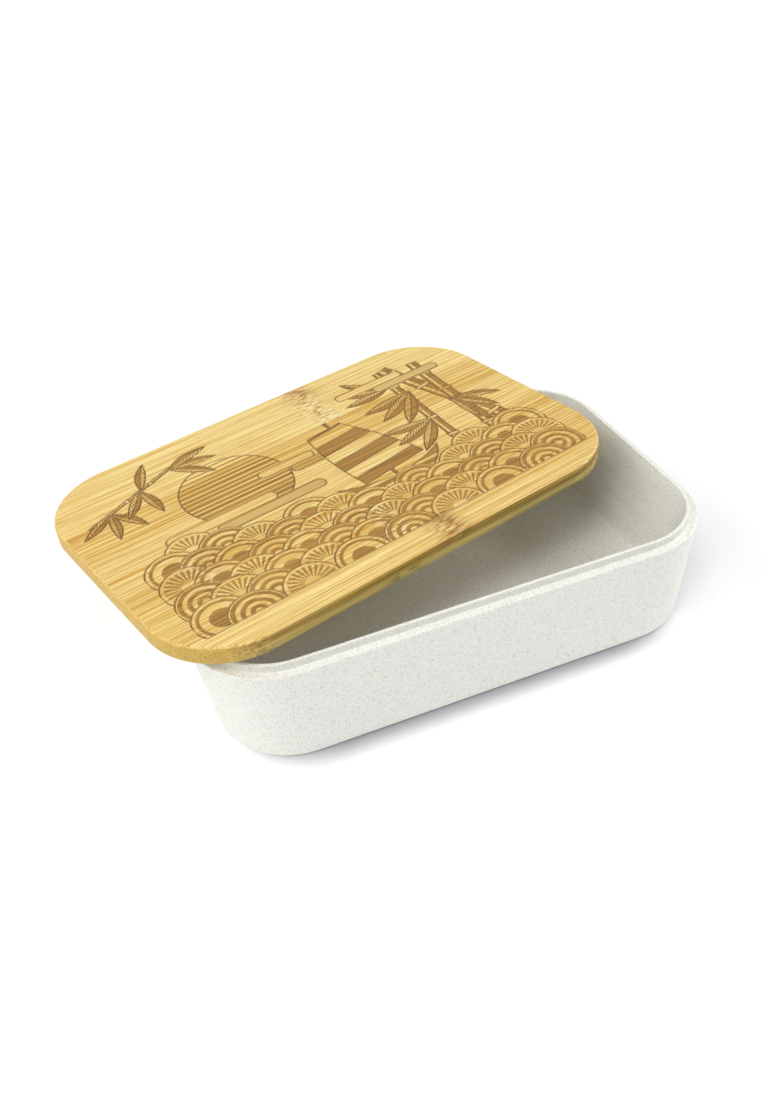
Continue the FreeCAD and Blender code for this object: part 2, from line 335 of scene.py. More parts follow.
# %% [markdown]
# ## The faces of a strip
# Each strip is a closed shell: a grid on top, then loops that follow its border down to the underside.
# A loop has an inset and a height, so one list of steps draws a rounded edge, a plain side or a groove.
# Long quads close the plain underside.
# %% Strip faces
def strip_faces(columns, rows, loops):
    """The border of a top grid, and the faces of the grid, of walls between loops and of an underside."""
    front = np.arange(columns)
    right = np.arange(1, rows) * columns + columns - 1
    back = (rows - 1) * columns + np.arange(columns - 2, -1, -1)
    left = np.arange(rows - 2, 0, -1) * columns
    border = np.concatenate([front, right, back, left])
    size = len(border)
    below = rows * columns + np.arange(loops * size).reshape(loops, size)
    rings = np.vstack([border, below])
    walls = np.stack([rings[1:], np.roll(rings[1:], -1, axis=1),
                      np.roll(rings[:-1], -1, axis=1), rings[:-1]], axis=-1).reshape(-1, 4)
    front, right, back, left = np.split(below[-1], np.cumsum([columns, rows - 2, columns]))
    back = back[::-1]
    planks = np.stack([front[1:-2], back[1:-2], back[2:-1], front[2:-1]], axis=-1)
    left_end = np.concatenate([front[:1], left[::-1], back[:2], front[1:2]])
    right_end = np.concatenate([front[-2:-1], back[-2:], right[::-1], front[-1:]])
    quads = np.vstack([grid_faces(rows, columns), walls, planks]).tolist()
    return border, quads + [left_end.tolist(), right_end.tolist()]


print("faces of a small strip:", len(strip_faces(6, 4, 2)[1]))

# %% [markdown]
# ## Drawing with distances
# The top is engraved by a laser, which leaves the grain readable under a shallow, browned recess.
# A picture texture could colour it, but here the drawing is worked out at the mesh's own points, so
# the recess is real. Each motif is a signed distance, negative inside, and later ones lie over earlier.
# %% Drawing helpers
LINE, SOFT_EDGE = 0.6, 0.3


def inside(distance):
    """1 inside a shape and 0 outside, with a soft edge, from its signed distance."""
    return np.clip(0.5 - distance / SOFT_EDGE, 0, 1)


def bands(place, pitch, share=0.5):
    """Stripes over a share of each pitch along a measure: where a cosine is under a level."""
    swing = np.cos(2 * np.pi * place / pitch) - np.cos(np.pi * (1 - share))
    return inside(swing * pitch / (2 * np.pi))


def lay(art, distance, fill):
    """Lay a shape over the drawing: what it covers goes, its fill comes in and its rim is lined."""
    cover = inside(distance - LINE / 2)
    art["fill"] = art["fill"] * (1 - cover) + fill * inside(distance)
    art["line"] = np.maximum(art["line"] * (1 - cover), inside(np.abs(distance) - LINE / 2))


def add_lines(art, distance, lines):
    """Scribe lines inside a shape that has been laid."""
    art["line"] = np.maximum(art["line"], lines * inside(distance))


def along_and_across(x, y, start, heading):
    """Measures from a start along a heading in radians, and across it to the left."""
    cos, sin = math.cos(heading), math.sin(heading)
    x, y = x - start[0], y - start[1]
    return x * cos + y * sin, y * cos - x * sin


print("a stripe of half a 4 mm pitch:", bands(np.arange(5.0), 4.0).round(2))

# %% [markdown]
# ## Waves
# The design's water is rows of wave scales, circles that overlap like roof tiles, filled with rings,
# rays or a pearl. An Array modifier could set them out, but rounding a coordinate to the nearest centre
# draws a whole row in one step.
# %% Wave scales
FAR = 99.0
RING_PITCH, RING_SHARE = 0.31, 0.52
RAY_COUNT, RAY_MIDDLE, RAY_HALF = 24, 0.42, 0.28
HOOP_MIDDLE, HOOP_HALF, PEARL_INSET = 0.2, 0.06, 0.55


def wave_fill(rim, turn, radius, kind):
    """Rings by the distance from the rim, rays by the angle, or a pearl in a hoop, for kinds 0, 1 and 2."""
    rings = bands(rim, RING_PITCH * radius, RING_SHARE)
    ray_belt = inside(np.abs(rim + RAY_MIDDLE * radius) - RAY_HALF * radius)
    rays = bands(turn * radius / 2, np.pi * radius / RAY_COUNT) * ray_belt
    hoop = inside(np.abs(rim + HOOP_MIDDLE * radius) - HOOP_HALF * radius)
    pearl = np.maximum(hoop, inside(rim + PEARL_INSET * radius))
    return np.select([kind == 0, kind == 1], [rings, rays], pearl)


def lay_waves(art, x, y, floor, rows, radius, reach, crest):
    """Rows of circles half a radius apart, every second row shifted, the front row laid last."""
    for row in reversed(range(rows)):
        shift = radius * (row % 2)
        column = np.round((x - shift) / (2 * radius))
        middle = column * 2 * radius + shift
        level = floor + row * radius / 2
        rim = np.hypot(x - middle, y - level) - radius
        rim = np.where((level < crest(middle)) & (np.abs(middle) < reach), rim, FAR)
        turn = np.arctan2(y - level, x - middle)
        fill = wave_fill(rim, turn, radius, (column + row // 2) % 3)
        lay(art, np.maximum(rim, floor - y), fill)


print("rays in one wave:", RAY_COUNT)

# %% [markdown]
# ## Canes and leaves
# A cane is a straight stroke that swells at its joints and has a bare gleam along one side. A leaf is
# the lens where two circles overlap. Each is drawn along its own heading, so one formula serves all.
# %% Canes and leaves
JOINT_HALF, SWELL, SWELL_REACH = 0.9, 0.2, 1.5
GLEAM_PLACE, GLEAM_HALF = 0.35, 0.22
LEAF_SLIMNESS, LEAF_BEND = 0.11, 0.12
HATCH_SLANT, HATCH_PITCH = 1.6, 1.9


def lay_cane(art, x, y, foot, top, half_width, joint_pitch):
    """A straight cane: the distance across its axis less a half width that swells at every joint."""
    run = np.subtract(top, foot)
    length = np.hypot(*run)
    along, across = along_and_across(x, y, foot, math.atan2(run[1], run[0]))
    to_joint = np.abs((along / joint_pitch) % 1 - 0.5) * joint_pitch
    swell = SWELL * half_width * np.exp(-(to_joint / SWELL_REACH) ** 2)
    rim = np.maximum(np.abs(across) - half_width - swell, np.abs(along - length / 2) - length / 2)
    gleam = inside(np.abs(across - GLEAM_PLACE * half_width) - GLEAM_HALF * half_width)
    joint = inside(to_joint - JOINT_HALF)
    lay(art, rim, (1 - gleam) * (1 - joint))
    add_lines(art, rim, inside(np.abs(to_joint - JOINT_HALF) - LINE / 2))


def lay_leaf(art, x, y, stem, heading, length):
    """The overlap of two circles, bent as a parabola, one half filled and one hatched, with a midrib."""
    half_width = LEAF_SLIMNESS * length
    along, across = along_and_across(x, y, stem, math.radians(heading))
    along = along - length / 2
    across = across + LEAF_BEND * along ** 2 / length
    arc_radius = (length ** 2 / 4 + half_width ** 2) / (2 * half_width)
    rim = np.hypot(along, np.abs(across) + arc_radius - half_width) - arc_radius
    hatch = bands(along + HATCH_SLANT * np.abs(across), HATCH_PITCH)
    lay(art, rim, np.where(across > 0, 1.0, hatch))
    add_lines(art, rim, inside(np.abs(across) - LINE / 3))


print("half width of a 20 mm leaf:", LEAF_SLIMNESS * 20.0)

# %% [markdown]
# ## Disc, mist and boat
# The sky holds a disc ruled with level bars, under bars of mist, and on the water rides a boat with a
# ribbed sail. The boat's sizes are shares of its length, so it can be drawn at any size.
# %% Disc, mist and boat
BAR_PITCH, BAR_THIN, BAR_GROWTH = 2.6, 0.25, 0.6
KEEL_RADIUS, KEEL_HEIGHT, SHEER, WATERLINE = 0.6, 0.42, 0.5, 0.02
PLANK_PITCH, PLANK_SHARE = 0.09, 0.6
MAST_HALF, MAST_MIDDLE = 0.012, 0.55
SAIL_FOOT, SAIL_HEIGHT, SAIL_HALF, SAIL_TAPER = 0.1, 0.9, 0.34, 0.45
SAIL_START, SAIL_LEAN, BATTEN_SLOPE = 0.05, 0.12, 0.12
PANEL_PITCH, BATTEN_PITCH, BATTEN_SHARE = 0.3, 0.15, 0.12


def lay_sun(art, x, y, centre, radius):
    """A disc ruled with level bars that thicken towards the front."""
    rim = np.hypot(x - centre[0], y - centre[1]) - radius
    share = np.clip((centre[1] + radius - y) / (2 * radius), 0, 1)
    lay(art, rim, bands(y, BAR_PITCH, BAR_THIN + BAR_GROWTH * share))


def lay_mist(art, x, y, left, right, level, half_height, fill):
    """A bar with round ends: the distance to a level stretch, less half its height."""
    lay(art, np.hypot(x - np.clip(x, left, right), y - level) - half_height, fill)


def lay_boat(art, x, y, place, length):
    """A circle under a parabola for the hull, a mast, and a tapering sail with panels filled in turn."""
    x, y = (x - place[0]) / length, (y - place[1]) / length
    mast = np.maximum(np.abs(x) - MAST_HALF, np.abs(y - MAST_MIDDLE) - MAST_MIDDLE)
    hull = np.maximum(np.hypot(x, y - KEEL_HEIGHT) - KEEL_RADIUS, y - SHEER * x ** 2)
    height = np.clip((y - SAIL_FOOT) / SAIL_HEIGHT, 0, 1)
    aside = x - (SAIL_START - SAIL_LEAN * height)
    up = y - BATTEN_SLOPE * aside
    sail = np.maximum(np.abs(aside) - SAIL_HALF * (1 - SAIL_TAPER * height ** 2),
                      np.abs(up - SAIL_FOOT - SAIL_HEIGHT / 2) - SAIL_HEIGHT / 2)
    planks = bands(y * length, PLANK_PITCH * length, PLANK_SHARE)
    lay(art, mast * length, 1.0)
    lay(art, sail * length, bands(up * length, PANEL_PITCH * length))
    add_lines(art, sail * length, bands(up * length, BATTEN_PITCH * length, BATTEN_SHARE))
    lay(art, hull * length, np.maximum(planks, inside((WATERLINE - y) * length)))


print("panels in the sail:", round(SAIL_HEIGHT / BATTEN_PITCH))

# %% [markdown]
# ## The design
# The motifs are laid from back to front: the disc behind its mist, the boat and the canes behind the
# waves. Round them the board stays bare, so that the grain shows along its edge.
# %% Design of the top
MARGIN = 12.0
WAVE_ROWS, WAVE_RADIUS, WAVE_REACH = 12, 10.5, 74.0
CREST_LEVEL, CREST_FALL = -18, 0.06
SWELL_HEIGHT, SWELL_TOP, SWELL_LENGTH = 7, -64, 26
SUN = {"centre": (-32.0, 15.5), "radius": 21.5}
BOAT = {"place": (17.0, -19.0), "length": 44.0}
# left, right, level, half height and fill of each bar of mist
LOW_MIST = [(-66, -26, 1.8, 2.7, 0.0), (-48, -8, -3.6, 2.7, 0.5),
            (-20, 0, 15.5, 2.3, 0.0), (-8, 12, 10.9, 2.3, 0.5)]
HIGH_MIST = [(34, 62, 41.0, 2.4, 0.0), (50, 78, 36.2, 2.4, 0.4)]
# foot, top, half width and joint pitch of each cane
CANES = [((47, -34), (57, 47), 1.9, 15.0), ((78, -36), (60, 48), 3.1, 18.0),
         ((63, -38), (73, 44), 2.4, 16.0), ((-85, 29), (-44, 45), 0.7, 13.0)]
# stem, headings in degrees and length of the leaves of each spray
SPRAYS = [((58, 25), (186, 208, 232), 25.0), ((51, 2), (172, 198, 226), 23.0),
          ((67, 10), (-28, -58, -92), 20.0), ((52, 33), (158, 182, 128), 21.0),
          ((-75, 33), (-146, -102, -62), 17.0), ((-60, 39), (-128, -86, 62), 18.0),
          ((-45, 45), (-44, -12, 14), 19.0)]


def wave_crest(x):
    """Height of the water: a long cosine swell on a line that falls towards the right."""
    return CREST_LEVEL - CREST_FALL * x + SWELL_HEIGHT * np.cos((x - SWELL_TOP) / SWELL_LENGTH)


def engraving(x, y):
    """Fill and line, each from 0 to 1, of the whole design at points of the top."""
    art = {"fill": np.zeros_like(x), "line": np.zeros_like(x)}
    lay_sun(art, x, y, **SUN)
    for bar in LOW_MIST:
        lay_mist(art, x, y, *bar)
    lay_boat(art, x, y, **BOAT)
    for cane in CANES:
        lay_cane(art, x, y, *cane)
    for stem, headings, length in SPRAYS:
        for heading in headings:
            lay_leaf(art, x, y, stem, heading, length)
    for bar in HIGH_MIST:
        lay_mist(art, x, y, *bar)
    lay_waves(art, x, y, MARGIN - HALF_BOX[1], WAVE_ROWS, WAVE_RADIUS, WAVE_REACH, wave_crest)
    return art["fill"], art["line"]


print("crest in the middle:", wave_crest(0.0).round(1), "mm")

# %% [markdown]
# ## What a strip knows
# Every strip is cut from another stretch of cane, so no two look alike. Each carries what its wood needs
# to know: its stretch of grain, its tone, where a knuckle crosses it, how far down its side a point is,
# how far its paler end grain shows, fully on the left end and weakly on the right end, where the
# difference is painted shade, and what the laser took. One material can then dress a whole ply.
# %% One strip
RECESS_FILL, RECESS_LINE = 0.22, 0.38
STRIP_TONES = (0.36, 0.54, 0.50, 0.36, 0.60, 0.26, 0.25)
TONE_DRIFT = 0.1
# the right end gets only a quarter of the paler end colour: painted shade on that end
LEFT_END, SHADED_RIGHT_END = 1.0, 0.25
GRAIN_SHIFT = np.array([317.0, 41.0, 23.0])
KNUCKLE_REACH = 5.5
# place along the strip, and strength: dark above 0 and light below
KNUCKLES = {"lid_top_strip_1": (9.5, 1.0), "lid_top_strip_2": (-3.0, -0.8),
            "lid_top_strip_3": (-67.0, -0.7), "lid_top_strip_6": (21.0, -1.0),
            "lid_top_strip_7": (23.0, 1.0), "lid_lower_strip_1": (-14.0, 1.0)}
NO_KNUCKLE = (0.0, 0.0)
STRIP_SHARP_DEGREES = 62


def end_share(x, y):
    """How far the edge faces along the grain: past X over the distance past both, at the corners."""
    past_x = np.maximum(np.abs(x) - CORNER_CENTRE[0], 0)
    past_y = np.maximum(np.abs(y) - CORNER_CENTRE[1], 0)
    return past_x / np.maximum(np.hypot(past_x, past_y), 1e-6)


def strip_looks(node, number, grain_number, x, y, height, side):
    """Attributes for the wood; a knuckle fades as a bell curve along the strip."""
    knuckle_place, strength = KNUCKLES.get(node, NO_KNUCKLE)
    return {
        "grain": np.stack([x, y, height], axis=1) + GRAIN_SHIFT * grain_number,
        "tone": STRIP_TONES[number] - TONE_DRIFT * x * y / HALF_BOX.prod(),
        "knuckle": strength * np.exp(-((x - knuckle_place) / KNUCKLE_REACH) ** 2),
        "side": side,
        # end grain share, cut down on the right end as painted shade
        "end": end_share(x, y) * np.where(x < 0, LEFT_END, SHADED_RIGHT_END),
    }


def make_strip(ply, number, sides):
    """One strip: a top grid, then border loops at the inset, height and side of each step of its edge."""
    node, edge = ply.nodes[number], ply.edge
    columns = int(BOX_LENGTH / ply.pitch)
    rows = int((sides[1] - sides[0]) / ply.pitch) + 2
    border, faces = strip_faces(columns, rows, len(edge) - 1)
    along, across = np.meshgrid(np.linspace(-1, 1, columns), across_steps(sides, ply.inset, rows))
    repeats = [along.size] + [border.size] * (len(edge) - 1)
    inset, height, side = (np.repeat(step, repeats) for step in np.array(edge).T)
    along, across = (np.concatenate([grid.ravel(), np.tile(grid.ravel()[border], len(edge) - 1)])
                     for grid in (along, across))
    x, y = strip_plan(along, across, sides, inset, ply.inset)
    looks = strip_looks(node, number, ply.first_grain + number, x, y, height, side)
    fill, line = engraving(x, y) if ply.engraved else np.zeros((2, len(x)))
    looks["fill"], looks["line"] = fill * (side == 0), line * (side == 0)
    recess = np.maximum(RECESS_FILL * looks["fill"], RECESS_LINE * looks["line"])
    points = on_lid(np.stack([x, y, height - recess], axis=1))
    return put_piece(node + "_wood", points, faces, "lid", node, looks, STRIP_SHARP_DEGREES)


print("end grain in the middle of a corner:", end_share(*(HALF_BOX - 10.0)).round(3))

# %% [markdown]
# ## Laying up the plies
# A ply is a row of strips between seams. The top ply has a rounded arris and a fine grid, which holds
# the engraving. The lower ply and the grooved tongue are plain, so a coarse grid saves faces.
# %% Lay up the plies
TOP_ROUND, LOWER_ROUND = 1.2, 0.6
TOP_ROUND_STEPS, LOWER_ROUND_STEPS = 8, 6
FINE_PITCH, COARSE_PITCH = 0.25, 1.6


def edge_of_top():
    """Quarter circle at the arris of the top ply, then its straight side."""
    cos, sin = quarter(TOP_ROUND_STEPS)
    bottom, top = TOP_PLY
    rounding = np.stack([TOP_ROUND * (1 - sin), top - TOP_ROUND * (1 - cos), sin ** 2], axis=1)
    return rounding.tolist() + [[0, bottom + HOLD / 2, 1], [0, bottom, 1]]


def edge_of_lower():
    """Straight side of the lower ply, then a quarter circle at its lower arris."""
    cos, sin = quarter(LOWER_ROUND_STEPS)
    bottom, top = LOWER_PLY
    rounding = np.stack([LOWER_ROUND * (1 - cos), bottom + LOWER_ROUND * (1 - sin), 1 - sin ** 2], axis=1)
    return [[0, top, 1], [0, top - HOLD / 2, 1]] + rounding.tolist() + [[LOWER_ROUND + HOLD, bottom, 0]]


def edge_of_tongue():
    """Side of the tongue, in steps at right angles round the groove that holds the seal."""
    bottom, top = TONGUE_PLY
    return [[TONGUE_SIDE, top, 1], [TONGUE_SIDE, SEAL_TOP, 1],
            [GROOVE_FLOOR, SEAL_TOP, 1], [GROOVE_FLOOR, SEAL_BOTTOM, 1],
            [TONGUE_SIDE, SEAL_BOTTOM, 1], [TONGUE_SIDE, bottom, 1], [TONGUE_SIDE + HOLD, bottom, 0]]


def ply_sides(ply):
    """Near and far side of each strip: seams an inner strip apart, and the board's own sides."""
    count = len(ply.nodes)
    seams = (np.arange(1, count) - count / 2) * ply.strip_width
    outer = HALF_BOX[1] - ply.inset
    places = np.concatenate([[-outer], seams, [outer]])
    return list(zip(places[:-1], places[1:]))


Ply = namedtuple("Ply", "slot nodes strip_width inset edge pitch engraved first_grain")
PLIES = [
    Ply("bamboo_top", TOP_STRIPS, 19.5, 0.0, edge_of_top(), FINE_PITCH, True, 10),
    Ply("bamboo_lower", LOWER_STRIPS, 21.0, 0.0, edge_of_lower(), COARSE_PITCH, False, 12),
    Ply("bamboo_tongue", TONGUE_STRIPS, 19.5, TONGUE_SIDE, edge_of_tongue(), COARSE_PITCH, False, 13),
]
strips = {}
for ply in PLIES:
    strips[ply.slot] = [make_strip(ply, number, sides) for number, sides in enumerate(ply_sides(ply))]
    print(ply.slot, "faces:", sum(len(strip.data.polygons) for strip in strips[ply.slot]))

# %% [markdown]
# ## Shader maths as Python
# A material is a graph of nodes. Wrapping an output socket in a small class lets plain expressions
# such as `1 - mask` add the Math nodes, so a finish reads like a formula instead of a wiring list.
# %% Wire class
def operator(operation):
    """Methods for an operator and its reflected form, so that mask - 1 and 1 - mask both work."""
    return (lambda self, other: self.math(operation, self, other),
            lambda self, other: self.math(operation, other, self))


class Wire:
    """An output socket of a material: arithmetic on wires adds Math nodes and gives a new wire."""

    __add__, __radd__ = operator("ADD")
    __sub__, __rsub__ = operator("SUBTRACT")
    __mul__, __rmul__ = operator("MULTIPLY")
    __truediv__, __rtruediv__ = operator("DIVIDE")

    def __init__(self, tree, socket=None):
        self.tree, self.socket = tree, socket

    def feed(self, node, sockets):
        """Link wires, or set plain values, on sockets of a node given by name or number."""
        for key, value in sockets.items():
            if isinstance(value, Wire):
                self.tree.links.new(value.socket, node.inputs[key])
            else:
                node.inputs[key].default_value = value

    def node(self, kind, settings, sockets, output=0):
        """Add a node, make its settings, feed its sockets and give one of its outputs."""
        made = self.tree.nodes.new("ShaderNode" + kind)
        for key, setting in settings.items():
            setattr(made, key, setting)
        self.feed(made, sockets)
        return Wire(self.tree, made.outputs[output])

    def math(self, operation, *values):
        """A Math node of an operation on wires or numbers."""
        return self.node("Math", {"operation": operation}, dict(enumerate(values)))

    def larger(self, other):
        """The larger of this wire and another value."""
        return self.math("MAXIMUM", self, other)

    def attribute(self, name, output="Fac"):
        """What the mesh's points carry under a name."""
        return self.node("Attribute", {"attribute_name": name}, {}, output=output)

    def bump(self, strength, depth):
        """A normal that takes this wire as a height, for a depth in millimetres."""
        return self.node("Bump", {}, {"Strength": strength, "Distance": depth * MM, "Height": self})

    def step(self, low, high):
        """0 below low and 1 above high, with a smooth rise between them."""
        settings = {"interpolation_type": "SMOOTHSTEP", "clamp": True}
        return self.node("MapRange", settings, {0: self, 1: low, 2: high, 3: 0.0, 4: 1.0})

    def mix(self, first, second):
        """A colour between two, by this wire from 0 to 1."""
        return self.node("Mix", {"data_type": "RGBA"}, {0: self, 6: first, 7: second}, output=2)

    def stretched(self, scale):
        """This vector multiplied by a scale, or each part by its own."""
        sockets = {0: self, 1: np.broadcast_to(scale, 3).tolist()}
        return self.node("VectorMath", {"operation": "MULTIPLY"}, sockets)

    def noise(self, scale, detail=2.0, roughness=0.5):
        """Noise about 0.5 on this vector, stretched by a scale."""
        sockets = {"Vector": self.stretched(scale), "Scale": 1.0, "Detail": detail, "Roughness": roughness}
        return self.node("TexNoise", {}, sockets)


print("wire methods:", [name for name in vars(Wire) if name[0] != "_"])

# %% [markdown]
# ## Colours and new materials
# A colour is easiest to name as it shows on a screen, but a shader works in linear light, so one
# function turns the first into the second. Places are read in millimetres, so that the sizes of a
# pattern are real sizes.
# %% Colours and new materials
def rgb(red, green, blue):
    """A display colour, 0 to 255 each, as linear light: a straight foot, then a power of 2.4."""
    display = np.array([red, green, blue]) / 255
    linear = np.where(display <= 0.04045, display / 12.92, ((display + 0.055) / 1.055) ** 2.4)
    return (*linear.tolist(), 1.0)


def start_material(name):
    """A new material with its Principled node and a bare wire to grow the rest from."""
    material = bpy.data.materials.new(name)
    material.use_nodes = True
    tree = material.node_tree
    return material, tree.nodes["Principled BSDF"], Wire(tree)


def place_in_mm(start):
    """Object coordinates in millimetres."""
    return start.node("TexCoord", {}, {}, output="Object").stretched(1 / MM)


def dress(pieces, finish):
    """Give pieces a material and print how many nodes it has."""
    for piece in pieces:
        piece.data.materials.append(finish)
    print(finish.name, "nodes:", len(finish.node_tree.nodes))


print("mid grey in linear light:", round(rgb(128, 128, 128)[0], 3))

# %% [markdown]
# ## Speckled plastic
# The tray is moulded from resin mixed with plant fibre. Up close it is a warm off-white with faint
# grey specks about half a millimetre across, fewer darker ones, and a slightly uneven sheen. Cells of
# a Voronoi pattern make the specks: only some cells get one, and its size follows the cell's own value.
# %% Tray finish
RESIN, WARM_RESIN, DUST_GREY = rgb(247, 248, 241), rgb(248, 247, 238), rgb(200, 202, 194)
FINE_SPECK, COARSE_SPECK, LIP_SHADE_GREY = rgb(180, 178, 164), rgb(140, 138, 122), rgb(150, 147, 130)
SPECK_EDGE = (-0.10, 0.06)


def specks(place, cell, size, share):
    """Round specks: near a cell's centre, within a size set by the cell's value, in a share of the cells."""
    settings = {"feature": "F1"}
    sockets = {"Vector": place, "Scale": 1.0 / cell}
    near = place.node("TexVoronoi", settings, sockets, output="Distance")
    value = place.node("TexVoronoi", settings, sockets, output="Color")
    value = place.node("SeparateColor", {}, {0: value})
    reach = (1 - value / share).larger(0.0) * (size / cell)
    return 1 - (near - reach).step(*SPECK_EDGE)


def tray_finish():
    """Off-white base, cloudy warm mottling, two sizes of specks, painted shade on the lip face, a fine matt
    skin.
    """
    material, surface, start = start_material("speckled_plastic")
    place = place_in_mm(start)
    cloud = place.noise(0.5, detail=3.0)
    dust = place.noise(3.0, detail=1.0)
    fine = specks(place, cell=0.62, size=0.34, share=0.9)
    coarse = specks(place, cell=1.7, size=0.38, share=0.6)
    colour = cloud.step(0.3, 0.7).mix(RESIN, WARM_RESIN)
    colour = (dust.step(0.42, 0.70) * 0.16).mix(colour, DUST_GREY)
    colour = (fine * 0.40).mix(colour, FINE_SPECK)
    colour = (coarse * 0.44).mix(colour, COARSE_SPECK)
    # painted shade: the lip's outer face and the corner at its foot are greyed as if shade lay there
    colour = (start.attribute("lip_face_shade") * 0.22).mix(colour, LIP_SHADE_GREY)
    skin = place.noise(2.4, detail=3.0)
    start.feed(surface, {"Base Color": colour, "Roughness": 0.44 + skin * 0.16 + fine * 0.05,
                         "Normal": (skin - coarse * 0.5).bump(0.25, 0.06), "Specular IOR Level": 0.42})
    return material


dress([tray], tray_finish())

# %% [markdown]
# ## Silicone
# The seal is milky silicone with a dusty bloom. The real one lets some light through, but on so thin a
# ring a pale, matt surface looks the same and renders faster.
# %% Seal finish
MILKY, BLOOM_WHITE = rgb(226, 227, 222), rgb(238, 238, 234)


def seal_finish():
    """Milky white with a faint bloom and a soft, slightly uneven sheen."""
    material, surface, start = start_material("milky_silicone")
    place = place_in_mm(start)
    bloom = place.noise(0.3, detail=4.0)
    skin = place.noise(4.0)
    colour = bloom.step(0.35, 0.7).mix(MILKY, BLOOM_WHITE)
    start.feed(surface, {"Base Color": colour, "Roughness": 0.42 + bloom * 0.25,
                         "Normal": skin.bump(0.2, 0.05)})
    return material


dress([seal], seal_finish())

# %% [markdown]
# ## The grain of bamboo
# Bamboo is bundles of fibre in paler pith, so its grain is fine straight streaks at several widths,
# and a knuckle breaks them into short blots and flecks. A picture of wood would repeat, so the streaks
# are noise, squeezed along a grain that is shifted for each strip, and its tone makes them paler or
# more golden.
# %% Bamboo grain
# waves in a millimetre along the grain and across it, then the noise's detail and roughness
NOISES = {"wide": (0.004, 0.35, 2, 0.5), "streak": (0.008, 1.9, 2, 0.5), "fibre": (0.018, 2.8, 2, 0.6),
          "dash": (0.10, 4.5, 1, 0.5), "blot": (0.16, 0.5, 2, 0.5), "fleck": (0.30, 1.1, 2, 0.5),
          "scan": (0.02, 2.6, 1, 0.5)}
FIBRE_BROWN, DASH_BROWN = rgb(172, 122, 50), rgb(164, 117, 50)
KNUCKLE_BROWN, FLECK_BROWN, KNUCKLE_PALE = rgb(168, 118, 51), rgb(143, 93, 38), rgb(246, 228, 178)


class Wood:
    """Wires of one bamboo material: what the strips know, and noises squeezed along their grain."""

    def __init__(self, start):
        for key in ("tone", "knuckle", "side", "end", "fill", "line"):
            setattr(self, key, start.attribute(key))
        grain = start.attribute("grain", output="Vector")
        for key, (along, across, detail, roughness) in NOISES.items():
            setattr(self, key, grain.noise((along, across, across), detail, roughness))
        self.dark = self.knuckle.larger(0.0)
        self.light = (self.knuckle * -1.0).larger(0.0)


def grain_colour(wood, pale, golden):
    """Streaks from pale to golden by a weighted sum of noises and tone, under brown fibres and dashes."""
    gold = wood.wide * 0.3 + wood.streak * 1.2 + wood.fibre * 2.9 + wood.tone * 0.9 - 2.57
    colour = gold.step(-0.6, 0.6).mix(pale, golden)
    colour = (wood.fibre.step(0.56, 0.72) * (wood.tone * 1.1 - 0.1)).mix(colour, FIBRE_BROWN)
    return (wood.dash.step(0.58, 0.74) * 0.45).mix(colour, DASH_BROWN)


def with_knuckles(wood, colour):
    """Brown blots in a dark knuckle, brown flecks in both kinds, and pale gaps in a light one."""
    dark, light = wood.dark, wood.light
    colour = (dark * wood.blot.step(0.34, 0.56) * 0.85).mix(colour, KNUCKLE_BROWN)
    colour = ((dark + light * 0.8) * wood.fleck.step(0.52, 0.62) * 0.85).mix(colour, FLECK_BROWN)
    return ((dark * 0.25 + light) * (1 - wood.fleck.step(0.40, 0.50))).mix(colour, KNUCKLE_PALE)


print("noises in the wood:", list(NOISES))

# %% [markdown]
# ## Edges and burns
# The oiled edge is more olive and the short end paler, though little on the right end, where the olive
# is painted shade, and a golden highlight is painted along the rounded arris. Where the laser worked the
# wood is browned, with its streaks still there. Each is a colour mixed over the grain by an attribute, so
# the same noise runs on from the top down the side.
# %% Bamboo finish
SIDE_KNUCKLE, ARRIS_HIGHLIGHT = rgb(92, 68, 28), rgb(228, 174, 66)
END_PALE, END_GOLD = rgb(220, 186, 96), rgb(188, 151, 66)
BURNT_PALE, BURNT_BROWN, BURNT_LINE = rgb(184, 140, 68), rgb(138, 98, 42), rgb(106, 70, 32)


def with_sides(wood, colour, side_pale, side_olive):
    """Olive streaks down the side, gold at its end, and a painted golden highlight on the arris where side *
    (1 - side) peaks.
    """
    side_tone = (wood.streak * 1.1 + wood.fibre * 1.3 + wood.wide * 0.4 - 0.9).step(0.2, 0.8)
    side_colour = side_tone.mix(side_pale, side_olive)
    side_colour = (wood.dark * wood.blot.step(0.4, 0.6) * 0.75).mix(side_colour, SIDE_KNUCKLE)
    side_colour = wood.end.step(0.0, 0.6).mix(side_colour, side_tone.mix(END_PALE, END_GOLD))
    colour = wood.side.step(0.35, 0.95).mix(colour, side_colour)
    # painted highlight: a golden band along the rounded arris, stronger where the end grain shows
    arris = wood.side * (1 - wood.side) * 4.0
    return (arris * (0.12 + wood.end * 0.16)).mix(colour, ARRIS_HIGHLIGHT)


def with_burns(wood, colour):
    """Browned streaks where the design is filled, and a darker brown along its lines."""
    burnt = (wood.scan * 0.8 + wood.streak * 0.9 - 0.5).step(0.1, 0.6).mix(BURNT_PALE, BURNT_BROWN)
    colour = wood.fill.mix(colour, burnt)
    return (wood.line * (0.62 + wood.scan * 0.4)).mix(colour, BURNT_LINE)


def bamboo_finish(name, pale, golden, side_pale, side_olive):
    """Grain, then knuckles, sides and burns over it; fibres stand proud and burns are rougher."""
    material, surface, start = start_material(name)
    wood = Wood(start)
    colour = with_knuckles(wood, grain_colour(wood, pale, golden))
    colour = with_burns(wood, with_sides(wood, colour, side_pale, side_olive))
    relief = wood.streak * 0.5 + wood.fibre * 0.8 + wood.dash * 0.25 - wood.scan * wood.fill * 0.8
    rough = 0.46 + wood.fibre * 0.14 + wood.fill * 0.16 + wood.line * 0.1
    start.feed(surface, {"Base Color": colour, "Roughness": rough, "Normal": relief.bump(0.35, 0.08),
                         "Specular IOR Level": 0.4})
    return material


